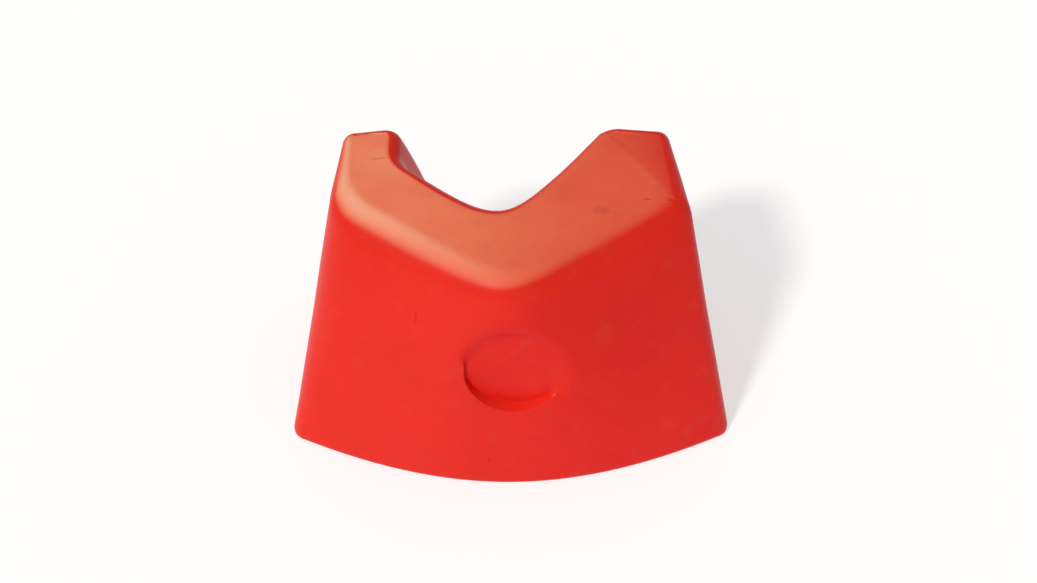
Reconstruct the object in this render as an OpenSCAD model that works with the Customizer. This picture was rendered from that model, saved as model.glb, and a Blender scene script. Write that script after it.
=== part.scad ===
// Water filled barrier: one hollow, rotationally moulded unit with a blunt nose,
// two arms that reach back round an open bay, a screwed filler and a screwed drain.
// X runs across the unit, the nose faces -Y, Z is up, and the origin is the
// middle of the base. Millimetres and degrees.

/* [Body] */
// Width of the base between its front corners, before they are rounded
body_w = 600; // [480:5:720]
// Depth of the base from the nose to the back faces
body_d = 350; // [300:5:420]
// Height of the body
body_h = 350; // [300:5:420]
// Wall thickness of the moulding
wall = 6; // [4:0.5:8]
// Inward lean of the left end, degrees
end_lean_left = 12.1; // [8:0.1:13]
// Inward lean of the right end, degrees
end_lean_right = 12.4; // [8:0.1:13]
// Inward turn of the left end toward the back, degrees
end_toe_left = 6; // [0:0.5:7]
// Inward turn of the right end toward the back, degrees
end_toe_right = 8; // [0:0.5:10]
// Backward lean of the nose, degrees
nose_lean = 7; // [4:0.5:9]
// Forward lean of the back faces, degrees
back_lean = 5; // [3:0.1:7]

/* [Nose and shoulder] */
// Slope of the flanks where they run straight, rise to run
flank_slope = 0.8; // [0.65:0.01:0.85]
// Bluntness of the nose at the base, larger is rounder
nose_blunt_base = 400; // [250:10:500]
// Bluntness of the nose at the top
nose_blunt_top = 45; // [30:1:90]
// Sideways shift of the nose at the top
nose_shift = 6; // [0:0.5:10]
// Radius of both front corners at the base
corner_r_base = 28; // [20:1:40]
// Radius of the left front corner at the top
corner_r_left = 105; // [60:1:120]
// Radius of the right front corner at the top
corner_r_right = 38; // [30:1:90]
// Rounding of the front and the ends into the top band
shoulder_r = 28; // [20:1:34]
// Rounding of the back faces and of the bay into the top band
rim_r = 12; // [10:0.5:13]
// Fall of the top band from the bay outward
band_fall = 5; // [0:0.5:8]
// Rounding of the base edge
base_r = 8; // [5:0.5:10]

/* [Bay] */
// Sideways place of the bay's bottom
bay_x = -15; // [-20:0.5:5]
// Depth of the bay at the top
bay_depth = 150; // [110:1:160]
// Half width of the bay's mouth at the top, left arm
bay_half_left = 129; // [115:1:135]
// Half width of the bay's mouth at the top, right arm
bay_half_right = 139; // [120:1:145]
// Slope of the bay's left wall
bay_slope_left = 1; // [0.8:0.05:1.2]
// Slope of the bay's right wall
bay_slope_right = 1.5; // [1:0.05:1.6]
// Bluntness of the bay's bottom
bay_blunt = 47; // [30:1:60]
// Draft of the bay's walls at the top, degrees
bay_draft = 22; // [15:0.5:23]
// Height over which that draft halves
bay_ease = 480; // [300:10:600]
// Rounding of the upright edges at the back
back_edge_r = 14; // [13:0.5:16]

/* [Front recess] */
// Sideways place of its middle
recess_x = 6; // [0:0.5:10]
// Height of its middle
recess_z = 200; // [165:1:212]
// Diameter of its flat floor
recess_floor_d = 118; // [80:1:122]
// Diameter of its rim, at the front of the nose
recess_rim_d = 138; // [126:1:150]
// Depth at the middle
recess_depth = 12; // [9:0.5:15]
// Backward lean of the floor, degrees
recess_lean = 5; // [3:0.5:9]
// Turn of the floor to the left, degrees
recess_turn = 2.5; // [0:0.5:5]

/* [Filler] */
// Sideways place of the filler, on the right arm's back face
filler_x = 156; // [152:1:160]
// Height of the filler
filler_z = 268; // [250:1:275]
// Thread diameter of the filler plug
filler_thread_d = 54; // [46:0.5:56]
// Thread pitch of the filler plug
filler_pitch = 4; // [3:0.5:4.5]
// Turns of thread on the filler plug
filler_turns = 3.5; // [2:0.5:3.5]
// Length of the filler insert
filler_insert_len = 20; // [16:1:24]

/* [Drain] */
// Sideways place of the drain, on the left arm's back face
drain_x = -165; // [-185:1:-150]
// Height of the drain
drain_z = 46; // [44:1:60]
// Diameter of the pocket that the drain sits in
drain_pocket_d = 62; // [54:1:70]
// Depth of that pocket
drain_pocket_h = 24; // [22:1:30]
// Thread diameter of the drain plug, G 3/4
drain_thread_d = 25.4; // [20:0.1:28]
// Thread pitch of the drain plug
drain_pitch = 1.814; // [1.5:0.001:2]
// Turns of thread on the drain plug
drain_turns = 7; // [4:0.5:7]
// Length of the drain insert
drain_insert_len = 16; // [13:0.5:20]

/* [Vent and water] */
// Sideways place of the moulding vent, on the left arm's back face
vent_x = -178; // [-182:1:-172]
// Height of the moulding vent
vent_z = 300; // [285:1:305]
// Diameter of the moulding vent
vent_d = 12; // [8:0.5:14]
// Height of the water ballast
water_level = 218; // [120:1:220]

/* [Fits] */
// Radial clearance of a plug in its insert
thread_gap = 0.3; // [0.2:0.05:0.5]
// Clearance of an insert in the moulding
mould_gap = 0.05; // [0.02:0.01:0.1]
// Clearance of a seal from its insert and from its plug's head
seal_gap = 0.1; // [0.05:0.05:0.3]
// Clearance of the water ballast
water_gap = 0.5; // [0.3:0.1:1]

/* [Hidden] */
$fn = 64;

red = "#e2311f";
black = "#24262a";
rubber = "#3a3a3c";
brass = "#b08d4a";
water = "#7fb6d8";

// Points on half an outer path and on half a bay path, so that the top band and
// the base can be closed by plain strips between the two.
n_front = 12;
n_corner = 8;
n_end = 3;
n_edge = 4;
half_n = n_front + n_corner + n_end + n_edge + 1;
n_bay = half_n - n_edge - 2;
ring_n = 4 * half_n - 2;

// Steps of height in the leaning walls and in the roundings.
wall_steps = 6;
round_steps = 6;
small_round_steps = 2;

// Where the bay's bottom lies at the top, and how far out along its half width
// each wall begins to turn toward the mouth.
bay_top_y = body_d / 2 - body_h * tan(back_lean) - bay_depth;
bay_turn_left = 0.72;
bay_turn_right = 0.9;

function mix(a, b, t) = a + (b - a) * t;
function bezier(a, b, c, t) = (1 - t) * (1 - t) * a + 2 * t * (1 - t) * b + t * t * c;

// A curve that is round at the middle and straight far out, and its slope.
function flare(x, slope, blunt) = slope * (sqrt(x * x + blunt * blunt) - blunt);
function flare_slope(x, slope, blunt) = slope * x / sqrt(x * x + blunt * blunt);

// What changes with height.
function level(z) = z / body_h;
function nose_x(z) = nose_shift * level(z);
function nose_y(z) = -body_d / 2 + z * tan(nose_lean);
function nose_blunt(z) = mix(nose_blunt_base, nose_blunt_top, level(z));
function back_y(z) = body_d / 2 - z * tan(back_lean);
function end_x(side, z) = body_w / 2 - z * tan(side > 0 ? end_lean_right : end_lean_left);
function bay_in(z) = let (down = body_h - z) down * tan(bay_draft) / (1 + down / bay_ease);
function bay_y(z) = bay_top_y + bay_in(z);
function bay_half(side, z) = (side > 0 ? bay_half_right : bay_half_left) - bay_in(z);
function corner_r(side, z) =
    mix(corner_r_base, side > 0 ? corner_r_right : corner_r_left, level(z));

// Point j of the outer path: the front from the nose, the front corner, the end,
// and the upright back edge. side is 1 on the right and -1 on the left.
function outer_point(side, j, z) =
    let (span = end_x(side, z) - side * nose_x(z),
         end_toe = side > 0 ? end_toe_right : end_toe_left,
         blunt = nose_blunt(z),
         lie = atan(flare_slope(span, flank_slope, blunt)),
         reach = corner_r(side, z) * tan((90 - lie) / 2),
         turn_x = span - reach * cos(lie),
         turn_y = nose_y(z) + flare(turn_x, flank_slope, blunt),
         corner = [span, turn_y + flare_slope(turn_x, flank_slope, blunt) * (span - turn_x)],
         away = [-sin(end_toe), cos(end_toe)],
         after = corner + away * reach,
         back = [span - (back_y(z) - corner[1]) * tan(end_toe), back_y(z)],
         before_back = back - away * back_edge_r,
         p = j <= n_front
               ? [turn_x * j / n_front,
                  nose_y(z) + flare(turn_x * j / n_front, flank_slope, blunt)]
             : j <= n_front + n_corner
               ? bezier([turn_x, turn_y], corner, after, (j - n_front) / n_corner)
             : j <= n_front + n_corner + n_end
               ? mix(after, before_back, (j - n_front - n_corner) / n_end)
             : bezier(before_back, back, back - [back_edge_r, 0],
                      (j - n_front - n_corner - n_end) / n_edge))
    [nose_x(z) + side * p[0], p[1]];

// Point j of the bay path: from the bay's bottom out along its wall to the mouth,
// then the upright back edge.
function bay_point(side, j, z) =
    let (half_w = bay_half(side, z),
         depth = back_y(z) - bay_y(z),
         slope = side > 0 ? bay_slope_right : bay_slope_left,
         turn_x = half_w * (side > 0 ? bay_turn_right : bay_turn_left),
         turn_t = flare(turn_x, slope, bay_blunt),
         mouth_t = depth - back_edge_r,
         bend_t = min(turn_t + flare_slope(turn_x, slope, bay_blunt) * (half_w - turn_x), mouth_t),
         n_wall = n_bay - n_corner,
         p = j <= n_wall
               ? [turn_x * j / n_wall, flare(turn_x * j / n_wall, slope, bay_blunt)]
             : j <= n_bay
               ? bezier([turn_x, turn_t], [half_w, bend_t], [half_w, mouth_t],
                        (j - n_wall) / n_corner)
             : bezier([half_w, mouth_t], [half_w, depth], [half_w + back_edge_r, depth],
                      (j - n_bay) / (n_edge + 1)))
    [bay_x + side * p[0], bay_y(z) + p[1]];

// Point i of the closed outline at height z, anticlockwise from the nose.
function plan(i, z) =
    let (k = (i + ring_n) % ring_n)
    k < half_n ? outer_point(1, k, z)
    : k < 2 * half_n ? bay_point(1, 2 * half_n - 1 - k, z)
    : k < 3 * half_n - 1 ? bay_point(-1, k - 2 * half_n + 1, z)
    : outer_point(-1, ring_n - k, z);

// The outline moved into the material by inset, as a point in space.
function inset_point(i, z, inset) =
    let (run = plan(i + 1, z) - plan(i - 1, z), p = plan(i, z))
    [p[0] - run[1] / norm(run) * inset, p[1] + run[0] / norm(run) * inset, z];

// How far a point lies along its path: 0 on the front, 1 at the back and in the bay.
function toward_back(i) =
    let (j = i < half_n ? i : i >= 3 * half_n - 1 ? ring_n - i : half_n)
    max(0, min(1, (j - n_front - n_corner / 2) / (n_corner / 2 + n_end)));
function edge_r(i) = mix(shoulder_r, rim_r, toward_back(i));
function edge_z(i) = body_h - (i < half_n || i >= 3 * half_n - 1 ? band_fall : 0);

// Rings of the body, inset by skin all over, from the base to the top edge.
function base_rings(skin, low_r) =
    [for (a = [0 : small_round_steps])
        let (t = 90 * a / small_round_steps)
        [for (i = [0 : ring_n - 1])
            inset_point(i, skin + low_r * (1 - cos(t)), skin + low_r * (1 - sin(t)))]];
function wall_rings(skin, low_r, steps) =
    [for (a = [1 : steps])
        [for (i = [0 : ring_n - 1])
            inset_point(i, mix(skin + low_r, edge_z(i) - edge_r(i), a / steps), skin)]];
function top_rings(skin) =
    [for (a = [1 : round_steps])
        let (t = 90 * a / round_steps)
        [for (i = [0 : ring_n - 1])
            let (r = edge_r(i) - skin)
            inset_point(i, edge_z(i) - edge_r(i) + r * sin(t), skin + r * (1 - cos(t)))]];

// Strips that close a ring, from each outer path to the bay path beside it.
function cap(first) =
    [for (j = [0 : half_n - 2])
        each [[first + j, first + j + 1, first + 2 * half_n - 1 - j],
              [first + j + 1, first + 2 * half_n - 2 - j, first + 2 * half_n - 1 - j],
              [first + (ring_n - j) % ring_n, first + 2 * half_n - 1 + j,
               first + ring_n - j - 1],
              [first + ring_n - j - 1, first + 2 * half_n - 1 + j,
               first + 2 * half_n + j]]];
function flipped(faces) = [for (f = faces) [f[2], f[1], f[0]]];

// A solid from closed rings of ring_n points each, lowest first.
module loft(rings) {
    sides = [for (a = [0 : len(rings) - 2], i = [0 : ring_n - 1])
        let (k = (i + 1) % ring_n)
        each [[(a + 1) * ring_n + i, (a + 1) * ring_n + k, a * ring_n + k],
              [(a + 1) * ring_n + i, a * ring_n + k, a * ring_n + i]]];
    polyhedron(points = [for (r = rings) each r],
               faces = concat(cap(0), sides, flipped(cap((len(rings) - 1) * ring_n))),
               convexity = 8);
}

// Puts its children on the back faces, with +Z out of the face.
module on_back(x, z) {
    translate([x, back_y(z), z])
        rotate([back_lean - 90, 0, 0])
            children();
}

// The recess in the nose, larger all over by grow.
module recess(grow) {
    translate([recess_x, nose_y(recess_z), recess_z])
        rotate([90 - recess_lean, 0, -recess_turn])
            hull() {
                translate([0, 0, -recess_depth - grow])
                    cylinder(d = recess_floor_d + 2 * grow, h = 0.1);
                translate([0, 0, 2])
                    cylinder(d = recess_rim_d + 2 * grow, h = 8);
            }
}

// Filler: sizes along its axis, out from the face of its pad.
filler_pad_h = 3;
filler_insert_d = filler_thread_d + 14;
filler_collar_d = filler_insert_d + 6;
filler_boss_d = filler_collar_d + 8;
filler_stem_len = filler_turns * filler_pitch;
filler_gasket_h = 3;
filler_head_d = filler_insert_d + 2;
filler_head_h = 7;

// Drain: the same, smaller.
drain_pad_h = 2;
drain_insert_d = drain_thread_d + 11;
drain_collar_d = drain_insert_d + 5;
drain_boss_d = drain_collar_d + 10;
drain_stem_len = drain_turns * drain_pitch;
drain_oring_d = 3;
drain_head_d = drain_insert_d + 1;
drain_head_h = 5;

// Thick plastic round an insert: a pad outside and a boss inside.
module boss(d, pad_h, depth) {
    translate([0, 0, -depth])
        cylinder(d = d, h = depth);
    cylinder(d1 = d, d2 = d - 2, h = pad_h);
}

// A moulded-in threaded ring with a collar that keeps it from pulling out. Its
// outer face is at z = 0.
module insert_body(d, collar_d, len, grow) {
    translate([0, 0, -len - grow])
        cylinder(d = d + 2 * grow, h = len + 2 * grow);
    translate([0, 0, -len * 0.7 - grow])
        cylinder(d = collar_d + 2 * grow, h = len * 0.2 + 2 * grow);
}

module filler_place() {
    on_back(filler_x, filler_z)
        translate([0, 0, filler_pad_h])
            children();
}

module drain_place() {
    on_back(drain_x, drain_z)
        translate([0, 0, drain_pad_h - drain_pocket_h])
            children();
}

// The pocket that keeps the drain inside the back face, larger all over by grow.
module drain_pocket(grow) {
    slack = 2;
    draft = 3;
    on_back(drain_x, drain_z)
        translate([0, 0, -drain_pocket_h - grow])
            cylinder(d1 = drain_pocket_d - draft + 2 * grow,
                     d2 = drain_pocket_d + 2 * grow,
                     h = drain_pocket_h + grow + slack);
}

module vent_place() {
    on_back(vent_x, vent_z)
        children();
}

// Plastic inside the walls: round the recess and the two inserts.
module thick_places(grow) {
    recess(wall + grow);
    on_back(filler_x, filler_z)
        boss(filler_boss_d + 2 * grow, filler_pad_h, filler_insert_len + 2 + grow);
    drain_pocket(wall + grow);
    on_back(drain_x, drain_z)
        translate([0, 0, -drain_pocket_h])
            boss(drain_boss_d + 2 * grow, drain_pad_h, drain_insert_len + 2 + grow);
}

module tank_shell() {
    color(red)
        difference() {
            union() {
                difference() {
                    loft(concat(base_rings(0, base_r), wall_rings(0, base_r, wall_steps),
                                top_rings(0)));
                    drain_pocket(0);
                }
                on_back(filler_x, filler_z)
                    boss(filler_boss_d, filler_pad_h, wall / 2);
                on_back(drain_x, drain_z)
                    translate([0, 0, -drain_pocket_h])
                        boss(drain_boss_d, drain_pad_h, wall / 2);
            }
            difference() {
                loft(concat(base_rings(wall, 3), wall_rings(wall, 3, wall_steps),
                            top_rings(wall)));
                thick_places(0);
            }
            recess(0);
            filler_place() {
                insert_body(filler_insert_d, filler_collar_d, filler_insert_len, mould_gap);
                translate([0, 0, -filler_insert_len - 10])
                    cylinder(d = filler_thread_d + 2, h = filler_insert_len + 12);
            }
            drain_place() {
                insert_body(drain_insert_d, drain_collar_d, drain_insert_len, mould_gap);
                translate([0, 0, -drain_insert_len - 10])
                    cylinder(d = drain_thread_d + 2, h = drain_insert_len + 12);
            }
            vent_place()
                translate([0, 0, -wall - 5])
                    cylinder(d = vent_d, h = wall + 10);
        }
}

// The water inside, filled to below the filler.
module water_ballast() {
    skin = wall + water_gap;
    low_r = 3;
    color(water, 0.5)
        difference() {
            loft(concat(base_rings(skin, low_r),
                        [for (a = [1 : wall_steps])
                            [for (i = [0 : ring_n - 1])
                                inset_point(i, mix(skin + low_r, water_level, a / wall_steps),
                                            skin)]]));
            thick_places(water_gap);
        }
}

module filler_insert() {
    color(black)
        filler_place()
            difference() {
                insert_body(filler_insert_d, filler_collar_d, filler_insert_len, 0);
                translate([0, 0, -filler_insert_len - 1])
                    cylinder(d = filler_thread_d + 2 * thread_gap, h = filler_insert_len + 2);
            }
}

module filler_gasket() {
    color(rubber)
        filler_place()
            difference() {
                translate([0, 0, seal_gap])
                    cylinder(d = filler_insert_d - 2, h = filler_gasket_h - 2 * seal_gap);
                translate([0, 0, -1])
                    cylinder(d = filler_thread_d + 2, h = filler_gasket_h + 2);
            }
}

// Screw plug with a fluted head and a grip bar across it.
module filler_plug() {
    flutes = 18;
    bar_w = 12;
    bar_h = 9;
    color(black)
        filler_place()
            union() {
                translate([0, 0, -filler_stem_len])
                    difference() {
                        cylinder(d = filler_thread_d, h = filler_stem_len + filler_gasket_h + 1);
                        translate([0, 0, -1])
                            cylinder(d = filler_thread_d - 10, h = filler_stem_len);
                    }
                translate([0, 0, filler_gasket_h])
                    difference() {
                        cylinder(d = filler_head_d, h = filler_head_h);
                        for (a = [0 : flutes - 1])
                            rotate([0, 0, 360 * a / flutes])
                                translate([filler_head_d / 2 + 1.5, 0, -1])
                                    cylinder(d = 6, h = filler_head_h + 2, $fn = 24);
                    }
                translate([-filler_head_d / 2 + 9, -bar_w / 2, filler_gasket_h + filler_head_h - 1])
                    cube([filler_head_d - 18, bar_w, bar_h + 1]);
            }
}

module drain_insert() {
    color(brass)
        drain_place()
            difference() {
                insert_body(drain_insert_d, drain_collar_d, drain_insert_len, 0);
                translate([0, 0, -drain_insert_len - 1])
                    cylinder(d = drain_thread_d + 2 * thread_gap, h = drain_insert_len + 2);
            }
}

module drain_oring() {
    color(rubber)
        drain_place()
            translate([0, 0, drain_oring_d / 2])
                rotate_extrude()
                    translate([drain_thread_d / 2 + 0.5 + drain_oring_d / 2, 0])
                        circle(d = drain_oring_d - 2 * seal_gap, $fn = 24);
}

// Drain plug with a round flange and a hexagon for a spanner.
module drain_plug() {
    hexagon_d = 27;
    hexagon_h = 11;
    color(black)
        drain_place()
            union() {
                translate([0, 0, -drain_stem_len])
                    cylinder(d = drain_thread_d, h = drain_stem_len + drain_oring_d + 1);
                translate([0, 0, drain_oring_d])
                    cylinder(d = drain_head_d, h = drain_head_h);
                translate([0, 0, drain_oring_d + drain_head_h - 1])
                    cylinder(d = hexagon_d, h = hexagon_h + 1, $fn = 6);
            }
}

// Press-in plug in the hole through which the moulding breathed.
module vent_plug() {
    head_h = 2;
    stem_len = wall + 2;
    barb_h = 2;
    color(black)
        vent_place()
            union() {
                cylinder(d1 = vent_d + 6, d2 = vent_d + 3, h = head_h);
                translate([0, 0, -stem_len])
                    cylinder(d = vent_d - 2 * mould_gap, h = stem_len + 1);
                translate([0, 0, -stem_len - barb_h])
                    cylinder(d1 = vent_d - 3, d2 = vent_d - 2 * mould_gap, h = barb_h);
            }
}

tank_shell();
water_ballast();
filler_insert();
filler_gasket();
filler_plug();
drain_insert();
drain_oring();
drain_plug();
vent_plug();
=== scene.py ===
import functools
import math

import bmesh
import bpy
from mathutils import Euler, Matrix, Vector, noise


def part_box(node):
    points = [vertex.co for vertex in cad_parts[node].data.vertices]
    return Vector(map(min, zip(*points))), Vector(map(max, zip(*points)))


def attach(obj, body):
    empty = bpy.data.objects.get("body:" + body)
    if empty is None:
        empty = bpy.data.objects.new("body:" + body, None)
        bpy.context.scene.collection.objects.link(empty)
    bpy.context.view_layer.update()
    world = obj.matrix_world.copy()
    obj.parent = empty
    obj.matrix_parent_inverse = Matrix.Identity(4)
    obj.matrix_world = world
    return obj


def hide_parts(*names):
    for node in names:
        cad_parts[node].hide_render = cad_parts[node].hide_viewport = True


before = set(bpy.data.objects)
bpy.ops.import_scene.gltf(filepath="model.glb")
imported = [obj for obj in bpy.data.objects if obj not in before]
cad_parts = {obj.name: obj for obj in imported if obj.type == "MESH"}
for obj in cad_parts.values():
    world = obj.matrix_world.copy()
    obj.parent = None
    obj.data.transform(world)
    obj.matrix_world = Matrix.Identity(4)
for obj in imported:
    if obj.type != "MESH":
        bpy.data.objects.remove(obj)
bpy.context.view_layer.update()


# ---------------------------------------------------------------- camera
# A standing person's view: from the front, looking down at about 49 degrees
# from a little under two metres off.
def place_camera():
    distance = 1.9
    elevation = math.radians(49)
    look_at = Vector((0.011, 0.020, 0.167))
    stand = Vector((0, -distance * math.cos(elevation), 0.150 + distance * math.sin(elevation)))
    camera = bpy.data.cameras.new("camera")
    camera.lens = 49.5
    camera.sensor_width = 36
    camera_object = bpy.data.objects.new("camera", camera)
    bpy.context.scene.collection.objects.link(camera_object)
    camera_object.location = stand
    camera_object.rotation_euler = (look_at - stand).to_track_quat("-Z", "Y").to_euler()
    bpy.context.scene.camera = camera_object


place_camera()


# ---------------------------------------------------------------- tank shell
# The body is one rotationally moulded skin of red polyethylene, 6 mm thick: a
# blunt nose, leaning sides, a flat band round the top and an open bay between
# two arms. It is raised ring by ring from the outline of its base.
WALL = 0.006
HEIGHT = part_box("tank_shell")[1].z
BASE_W = 0.600
BASE_D = 0.350
END_LEAN = {-1: math.radians(12.1), 1: math.radians(12.4)}
END_TOE = {-1: math.radians(6), 1: math.radians(8)}
NOSE_LEAN = math.radians(7)
BACK_LEAN = math.radians(5)
FLANK_SLOPE = 0.8
NOSE_BLUNT = (0.400, 0.045)
NOSE_SHIFT = 0.006
CORNER_R = {-1: (0.028, 0.105), 1: (0.028, 0.038)}
SHOULDER_R = 0.028
RIM_R = 0.012
BAND_FALL = 0.005
BASE_R = 0.008
BAY_X = -0.015
BAY_DEPTH = 0.150
BAY_HALF = {-1: 0.129, 1: 0.139}
BAY_SLOPE = {-1: 1.0, 1: 1.5}
BAY_TURN = {-1: 0.72, 1: 0.90}
BAY_BLUNT = 0.047
BAY_DRAFT = math.radians(22)
BAY_EASE = 0.480
EDGE_RUN = 0.0165
MOUTH_RUN = 0.019
EASE_N = 14

# Points along half of the outline: the nose patch, the flank, the front corner,
# the end, the upright back edge, then the back face and half of the bay.
PATCH_N = 12
FLANK_N = 10
CORNER_N = 12
END_N = 8
EDGE_N = 10
HALF_N = PATCH_N + FLANK_N + CORNER_N + END_N + EDGE_N
BACK_N = 16
BAY_N = HALF_N - EDGE_N - CORNER_N
RING_N = 4 * HALF_N + 2 * BACK_N
PATCH_HALF = 0.086
PATCH_LOW = 0.114
PATCH_HIGH = 0.286


def mix(a, b, t):
    return a + (b - a) * t


def bezier(a, b, c, t):
    return a * (1 - t) ** 2 + b * 2 * t * (1 - t) + c * t * t


def flare(x, slope, blunt):
    return slope * (math.hypot(x, blunt) - blunt)


def flare_slope(x, slope, blunt):
    return slope * x / math.hypot(x, blunt)


def nose_x(z):
    return NOSE_SHIFT * z / HEIGHT


def nose_y(z):
    return -BASE_D / 2 + z * math.tan(NOSE_LEAN)


def nose_blunt(z):
    return mix(*NOSE_BLUNT, z / HEIGHT)


def back_y(z):
    return BASE_D / 2 - z * math.tan(BACK_LEAN)


def bay_in(z):
    down = HEIGHT - z
    return down * math.tan(BAY_DRAFT) / (1 + down / BAY_EASE)


def bay_y(z):
    return back_y(HEIGHT) - BAY_DEPTH + bay_in(z)


def front_y(x, z):
    """The nose and the flanks: how far forward the front lies at x and z."""
    return nose_y(z) + flare(x - nose_x(z), FLANK_SLOPE, nose_blunt(z))


def outer_point(side, j, z):
    """Point j from the nose round one side to the back face."""
    lean = math.tan(END_LEAN[side])
    span = BASE_W / 2 - z * lean - side * nose_x(z)
    blunt = nose_blunt(z)
    lie = math.atan(flare_slope(span, FLANK_SLOPE, blunt))
    reach = mix(*CORNER_R[side], z / HEIGHT) * math.tan((math.pi / 2 - lie) / 2)
    turn = Vector((span - reach * math.cos(lie), 0))
    turn.y = nose_y(z) + flare(turn.x, FLANK_SLOPE, blunt)
    corner = Vector((span, turn.y + flare_slope(turn.x, FLANK_SLOPE, blunt) * (span - turn.x)))
    away = Vector((-math.sin(END_TOE[side]), math.cos(END_TOE[side])))
    after = corner + away * reach
    back = Vector((span - (back_y(z) - corner.y) * math.tan(END_TOE[side]), back_y(z)))
    before_back = back - away * EDGE_RUN
    flank_n = PATCH_N + FLANK_N
    if j <= flank_n:
        near = PATCH_HALF - side * nose_x(z)
        x = near * j / PATCH_N if j <= PATCH_N else mix(near, turn.x, (j - PATCH_N) / FLANK_N)
        p = Vector((x, nose_y(z) + flare(x, FLANK_SLOPE, blunt)))
    elif j <= flank_n + CORNER_N:
        p = bezier(turn, corner, after, (j - flank_n) / CORNER_N)
    elif j <= flank_n + CORNER_N + END_N:
        p = mix(after, before_back, (j - flank_n - CORNER_N) / END_N)
    else:
        p = bezier(before_back, back, back - Vector((EDGE_RUN, 0)), (j - HALF_N + EDGE_N) / EDGE_N)
    return Vector((nose_x(z) + side * p.x, p.y))


def along(path, s):
    """The place at distance s along a path of straight pieces, or past its end."""
    for a, b in zip(path, path[1:]):
        length = max((b - a).length, 1e-9)
        if s <= length or b is path[-1]:
            return mix(a, b, s / length)
        s -= length


def eased(path, t, reach):
    """A place at t of a path's length, its corners rounded by averaging over reach."""
    total = sum((b - a).length for a, b in zip(path, path[1:]))
    s = total * t
    reach = min(reach, s)
    steps = range(-EASE_N, EASE_N + 1)
    return sum((along(path, s + reach * k / EASE_N) for k in steps), Vector((0, 0))) / len(steps)


def bay_point(side, j, z):
    """Point j from the bottom of the bay out along one wall to the back face."""
    half_w = BAY_HALF[side] - bay_in(z)
    depth = back_y(z) - bay_y(z)
    slope = BAY_SLOPE[side]
    turn_x = half_w * BAY_TURN[side]
    turn_t = flare(turn_x, slope, BAY_BLUNT)
    bend_t = min(turn_t + flare_slope(turn_x, slope, BAY_BLUNT) * (half_w - turn_x), depth)
    if j <= BAY_N:
        x = turn_x * j / BAY_N
        p = Vector((x, flare(x, slope, BAY_BLUNT)))
    else:
        path = [Vector((turn_x, turn_t)), Vector((half_w, bend_t)), Vector((half_w, depth)),
                Vector((half_w + MOUTH_RUN, depth))]
        crowded = 1 - ((HALF_N - j) / (HALF_N - BAY_N)) ** 1.2
        p = eased(path, crowded, MOUTH_RUN)
    return Vector((BAY_X + side * p.x, bay_y(z) + p.y))


@functools.cache
def outline_point(i, z):
    """Point i of the closed outline at height z, anticlockwise from the nose."""
    i %= RING_N
    right_back = HALF_N + BACK_N
    left_mouth = right_back + 2 * HALF_N
    if i <= HALF_N:
        return outer_point(1, i, z)
    if i < right_back:
        return mix(outer_point(1, HALF_N, z), bay_point(1, HALF_N, z), (i - HALF_N) / BACK_N)
    if i <= right_back + HALF_N:
        return bay_point(1, HALF_N - (i - right_back), z)
    if i <= left_mouth:
        return bay_point(-1, i - right_back - HALF_N, z)
    if i < left_mouth + BACK_N:
        return mix(bay_point(-1, HALF_N, z), outer_point(-1, HALF_N, z), (i - left_mouth) / BACK_N)
    return outer_point(-1, RING_N - i, z)


def inset_point(i, z, inset):
    """The outline moved into the plastic by inset."""
    if HALF_N <= min(i, RING_N - i) <= HALF_N + BACK_N:
        run = Vector((-1, 0))
    else:
        run = (outline_point(i + 1, z) - outline_point(i - 1, z)).normalized()
    p = outline_point(i, z)
    return Vector((p.x - run.y * inset, p.y + run.x * inset, z))


def toward_back(i):
    """0 on the front, 1 at the back face and in the bay."""
    j = min(i, RING_N - i)
    start = PATCH_N + FLANK_N + CORNER_N / 2
    return min(max((j - start) / (HALF_N - EDGE_N - start), 0), 1)


def top_edge_z(i):
    """Height of the top band above outline point i: it falls outward from the bay."""
    j = min(i, RING_N - i)
    return HEIGHT - BAND_FALL * min(max((HALF_N + BACK_N - j) / BACK_N, 0), 1)


def shell_rings():
    """Every ring above the first, lowest first, as lists of points."""
    rings = []
    for step in range(1, 4):
        turn = math.pi / 2 * step / 3
        rings.append([inset_point(i, BASE_R * (1 - math.cos(turn)), BASE_R * (1 - math.sin(turn)))
                      for i in range(RING_N)])
    heights = [mix(BASE_R, PATCH_LOW, k / 10) for k in range(1, 10)]
    heights += [mix(PATCH_LOW, PATCH_HIGH, k / (2 * PATCH_N)) for k in range(2 * PATCH_N + 1)]
    rings += [[inset_point(i, z, 0) for i in range(RING_N)] for z in heights]
    for k in range(1, 6):
        rings.append([inset_point(i, mix(PATCH_HIGH, top_edge_z(i) - edge_r(i), k / 5), 0)
                      for i in range(RING_N)])
    for step in range(1, 8):
        turn = math.pi / 2 * step / 7
        rings.append([inset_point(i, top_edge_z(i) - edge_r(i) * (1 - math.sin(turn)),
                                  edge_r(i) * (1 - math.cos(turn)))
                      for i in range(RING_N)])
    return [with_straight_back(ring) for ring in rings]


def with_straight_back(ring):
    """The ring with each back face's points evenly spaced on one straight line."""
    ends = {HALF_N: HALF_N + BACK_N, RING_N - HALF_N - BACK_N: RING_N - HALF_N}
    for a, b in ends.items():
        for i in range(a + 1, b):
            ring[i] = mix(ring[a], ring[b], (i - a) / BACK_N)
    return ring


def edge_r(i):
    return mix(SHOULDER_R, RIM_R, toward_back(i))


def deselect_all():
    if bpy.context.mode != "OBJECT":
        bpy.ops.object.mode_set(mode="OBJECT")
    bpy.ops.object.select_all(action="DESELECT")


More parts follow.
